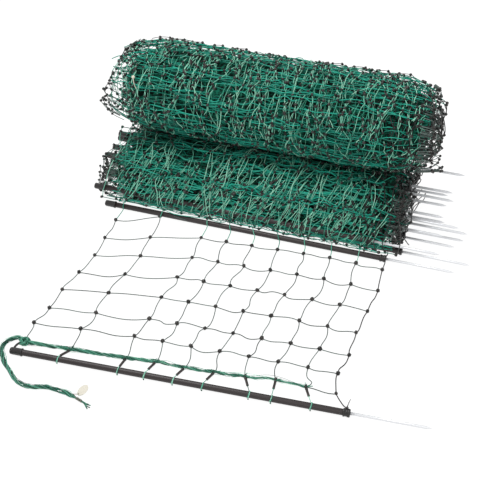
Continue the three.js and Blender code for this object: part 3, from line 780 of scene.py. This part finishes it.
def rolled(s, across, lift):
    core = ROLL_CORE
    turned_out = np.sqrt(core ** 2 + ROLL_PITCH * np.maximum(s, 0) / math.pi) - core
    angle = turned_out * 2 * math.pi / ROLL_PITCH
    turns = angle / (2 * math.pi)
    slip = 52 * np.sin(turns * 2.4 + roll_phase[0]) + 24 * np.sin(turns * 5.3 + roll_phase[1])
    x = 22 + across - NET_HEIGHT / 2 + slip
    radius = (core + ROLL_PITCH * turns + 1.5 * lift) / ROLL_RADIUS
    size = roll_size(x)
    y = ROLL_MIDDLE[0] + ROLL_HALF[0] * radius * size * np.cos(angle)
    z = ROLL_MIDDLE[1] + ROLL_HALF[1] * radius * size * np.sin(angle)
    return np.stack([x, y, z], -1)


# Painted shade: the strands darken within about 45 mm of the roll's ends, down to a fifth of their shade.
def roll_end_shade(path):
    return near_end(path[..., 0], -404, 444, [0, 18, 45], [0.2, 0.55, 1])


roll_length = math.pi * (ROLL_RADIUS ** 2 - ROLL_CORE ** 2) / ROLL_PITCH
ROLL_INNER = 0.9


def in_roll_core(p):
    x, y, z = p[..., 0], p[..., 1], p[..., 2]
    size = ROLL_INNER * near_end(x, -345, 392, [-1, 0, 20, 50, 110], [0, 0.5, 0.75, 0.9, 0.97])
    share = np.hypot((y - ROLL_MIDDLE[0]) / ROLL_HALF[0], (z - ROLL_MIDDLE[1]) / ROLL_HALF[1])
    return share < size - 0.04


weave("roll", rolled, int(roll_length / ROW_STEP), 6, 4.5, 5, ["netting_roll"], roll_end_shade, in_roll_core)
# Painted shade: the same dark core sits inside the roll's outer turns.
core_rings = []
for x in np.linspace(-345, 392, 44):
    size = ROLL_INNER * near_end(x, -345, 392, [0, 20, 50, 110], [0.5, 0.75, 0.9, 0.97])
    angle = np.arange(40) * 2 * math.pi / 40
    size = size * (1 + 0.02 * np.sin(3 * angle + x / 17))
    core_rings.append(np.stack([np.full(40, x), ROLL_MIDDLE[0] + ROLL_HALF[0] * size * np.cos(angle),
                                ROLL_MIDDLE[1] + ROLL_HALF[1] * size * np.sin(angle)], -1))
put(core_piece("roll_core", core_rings, packed_in_shade), "net_twine")


# Loose net of both layers: bright cross strands that lie along the bundle, slack loops that
# stand out of the ends with their knots, and a few that stand up along the roll's top edge.
BENDS = np.arange(7.0)
HALVES = np.linspace(-0.5, 0.5, 7)
LOOSE_LINE = 0.8
LOOSE_CROSS = 1.15
LOOP_KNOT = 3.6


def on_roll(x, angle, size):
    x, angle, size = np.broadcast_arrays(x, angle, size)
    return np.stack([x, ROLL_MIDDLE[0] + ROLL_HALF[0] * size * np.cos(angle),
                     ROLL_MIDDLE[1] + ROLL_HALF[1] * size * np.sin(angle)], -1)


def on_stack(x, z, out):
    x, z, out = np.broadcast_arrays(x, z, out)
    return np.stack([x, np.interp(z, FRONT_HEIGHTS, FRONT_EDGE) - out, z], -1)


def loops(name, points, finish, radius, shade, size):
    """Slack strands through rows of points, with a knot at every point between the ends."""
    points = np.asarray(points, float)
    points[..., 2] = np.maximum(points[..., 2], 3)
    put(tubes(f"{name}_strands", np.array([smooth(p, 5) for p in points]), radius, 5, finish, shade),
        "net_twine")
    put(knots(f"{name}_knots", points[:, 1:-1], size, knot_plastic), "net_knots")


def drawn(count, low, high):
    return low + (high - low) * random.random((count, 1))


def loose(name, points, radius, finish, low, high):
    """Loose strands through rows of points."""
    paths = np.array([smooth(p, 3) for p in points])
    put(tubes(name, paths, radius, 5, finish, drawn(len(paths), low, high)), "net_twine")


LONG = 170
along = HALVES * drawn(LONG, 60, 150)
starts = drawn(LONG, -330, 370)
turn = drawn(LONG, math.radians(45), math.radians(255)) + waves(BENDS, LONG, 0.03, 5)
x = starts + along
long_points = on_roll(x, turn, (1.0 + waves(BENDS, LONG, 0.012, 4)) * roll_size(x))
loose("roll_long_strands", long_points, LOOSE_CROSS, green_twine, 0.35, 1)
along = HALVES * drawn(LONG, 60, 150)
x = drawn(LONG, -300, 300) + along
height = np.clip(drawn(LONG, 14, 128) + waves(BENDS, LONG, 2.5, 5), 5, 134)
long_points = on_stack(x, height, 1 + waves(BENDS, LONG, 1.5, 4))
loose("stack_long_strands", long_points, LOOSE_CROSS, green_twine, 0.55, 1)

ROUND = 300
across = drawn(ROUND, -350, 400)
turn = drawn(ROUND, math.radians(55), math.radians(235)) + HALVES * drawn(ROUND, 0.25, 0.7)
x = across + waves(BENDS, ROUND, 2.5, 5) + 16 * HALVES * random.normal(size=(ROUND, 1))
round_points = on_roll(x, turn, roll_size(x) * (1.02 + waves(BENDS, ROUND, 0.008, 4)))
loose("roll_round_strands", round_points, LOOSE_LINE, pale_twine, 0.35, 0.95)
put(knots("roll_round_knots", round_points[:, (1, 4)], NET_KNOT, knot_plastic), "net_knots")
DOWN = 150
height = np.clip(-HALVES * drawn(DOWN, 40, 110) + drawn(DOWN, 30, 110), 6, 134)
x = drawn(DOWN, -310, 340) - 36 * HALVES * (0.7 + random.random((DOWN, 1)))
x = x + waves(BENDS, DOWN, 2.0, 5)
down_points = on_stack(x, height, 5 + waves(BENDS, DOWN, 1.2, 4))
loose("stack_down_strands", down_points, LOOSE_LINE, pale_twine, 0.35, 0.95)
put(knots("stack_down_knots", down_points[:, (1, 4)], NET_KNOT, knot_plastic), "net_knots")

for side, inner, outer, swing, count in (("left", -345, -350, -44, 22), ("right", 388, 404, 36, 30)):
    angle = drawn(count, math.radians(55), math.radians(240))
    span = drawn(count, 0.10, 0.32)
    reach = outer + swing * (0.5 - 0.5 * np.cos(angle - math.radians(50)))
    reach = reach + random.normal(size=(count, 1)) * 5
    inner = np.full((count, 1), inner)
    middle = (2 * reach + inner) / 3
    points = [on_roll(inner, angle - span, 0.93), on_roll(middle, angle - 0.8 * span, 0.86),
              on_roll(reach, angle, 0.72 + 0.1 * random.random((count, 1))),
              on_roll(middle, angle + 0.9 * span, 0.84), on_roll(inner, angle + span, 0.93)]
    loops(f"roll_{side}_loops", np.concatenate(points, 1), grey_twine, LINE_RADIUS,
          drawn(count, 0.2, 0.8), LOOP_KNOT)
for side, inner, outer, count in (("left", -335, -376, 16), ("right", 345, 378, 16)):
    height = drawn(count, 24, 124)
    span = drawn(count, 5, 14)
    reach = outer + random.normal(size=(count, 1)) * 7
    inner = np.full((count, 1), inner)
    middle = (2 * reach + inner) / 3
    points = [on_stack(inner, height - span, 0), on_stack(middle, height - 0.8 * span, -2),
              on_stack(reach, height, -8 - 30 * random.random((count, 1))),
              on_stack(middle, height + 0.8 * span, -3), on_stack(inner, height + span, 0)]
    loops(f"stack_{side}_loops", np.concatenate(points, 1), grey_twine, LINE_RADIUS,
          drawn(count, 0.2, 0.8), LOOP_KNOT)
TOP_ARCS = [(-292, 30), (-250, 22), (-206, 30), (-150, 24), (-90, 26), (150, 26), (204, 30),
            (262, 24), (312, 30)]
top = [[on_roll(x - w, math.radians(58), 0.97), on_roll(x - 0.4 * w, math.radians(54), 1.035),
        on_roll(x + 0.5 * w, math.radians(55), 1.05), on_roll(x + w, math.radians(57), 0.97)]
       for x, w in TOP_ARCS]
loops("roll_top_loops", top, black_twine, LOOSE_LINE, np.full(len(TOP_ARCS), 0.6), 4.0)


# Marker bead: a small moulded bead of cream plastic on a thin stem of its own, pushed
# through the outer turns near the roll's left end.
cream = twine("cream_plastic", (0.30, 0.27, 0.20), (0.55, 0.51, 0.40), (0.75, 0.71, 0.60), 0.5, 300)
stem = smooth([(-292, -58, 282), (-298, -57, 297), (-302, -51, 311)], 8)
put(tubes("bead_stem", stem[None], 0.9, 6, cream, [0.8]), "net_twine")
put(knots("bead", [stem[-1]], 4.4, cream), "net_knots")


# Net over the front of the fold: the lines of the stretch on the floor rise over the front
# posts and up the slope to the crease under the roll, with a few loose layers beside them.
COVER = [(-172, 4.5), (-166, 13.5), (-157, 18.6), (-149, 15), (-147.5, 27), (-146.5, 38), (-138, 47),
         (-128, 62), (-106, 93), (-76, 124), (-46, 138), (-8, 139)]
APRON_MIDDLE = 20.0
cover_path = smooth([(0, y, z) for y, z in COVER], 8)
cover_run = run(cover_path)


def cover(layer, shift):
    def place(s, across, lift):
        at = np.clip(s, 0, cover_run[-1])
        y = np.interp(at, cover_run, cover_path[:, 1])
        z = np.interp(at, cover_run, cover_path[:, 2])
        step = 2.0
        dy = np.interp(at + step, cover_run, cover_path[:, 1]) - y
        dz = np.interp(at + step, cover_run, cover_path[:, 2]) - z
        length = np.maximum(np.hypot(dy, dz), 1e-3)
        out = layer + np.abs(lift) * np.clip(at / 80, 0, 1)
        x = across - NET_HEIGHT / 2 + shift + 12 * np.sin(at / 70 + across / 90)
        return np.stack([x, y - out * dz / length, np.maximum(z + out * dy / length, 1.2)], -1)
    return place


def rising(row_ends, tops):
    """Lines from the last knots on the floor over the front post to the covering net."""
    post_01 = -156.96
    over = [(post_01 - 13, 4.5), (post_01 - 9, 12.5), (post_01, 18.3), (post_01 + 9, 13.5)]
    paths = []
    for start, top in zip(row_ends, tops):
        share = np.linspace(0, 1, 6)
        x = start[0] + (top[0] - start[0]) * share
        points = [start] + [(x[k + 1], y, z) for k, (y, z) in enumerate(over)] + [top]
        paths.append(smooth(points, 6))
    return np.array(paths)


for n, (layer, shift) in enumerate(((0.5, APRON_MIDDLE), (2, -30), (3, 34), (4, 2)), 1):
    rows_from = cover(layer, shift)
    weave(f"cover_{n}", lambda s, across, lift: rows_from(s + 38, across, lift), 4, 7, 7, 6,
          ink=stack_end_shade)
next_knots = np.array([first(50, 492, 4.4), first(150, 532, 4.4)])
beside = np.array([-128.0, -171, 13])
put(knots("apron_next_knots", next_knots, FLOOR_KNOT, knot_plastic), "net_knots")
ends_now = np.concatenate([next_knots, [beside]])
put(tubes("apron_next_strands", np.concatenate([
    flat_slack(apron_knots[:2, 5], next_knots, 14, 4.0),
    slack(next_knots, ends_now[1:], 14, np.array([[0, -7, 0], [0, 5, 3]]),
          np.array([[0, -3, 0], [0, 2, 0]])),
]), STRAND_RADIUS, 8, grey_twine, np.full(4, 0.4)), "net_twine")
tops = [(APRON_MIDDLE + ACROSS[l] - NET_HEIGHT / 2 + 12 * math.sin(38 / 70 + ACROSS[l] / 90), -147.5, 31)
        for l in range(10)]
rise = rising(np.concatenate([next_knots, apron_knots[2:, 5]]), tops)
put(tubes("rising_lines", rise[:9], 1.0, 6, pale_twine, 0.2 + 0.5 * random.random(9)), "net_twine")
put(tubes("rising_bottom_line", rise[9:], BOTTOM_RADIUS, 6, black_twine), "net_twine")
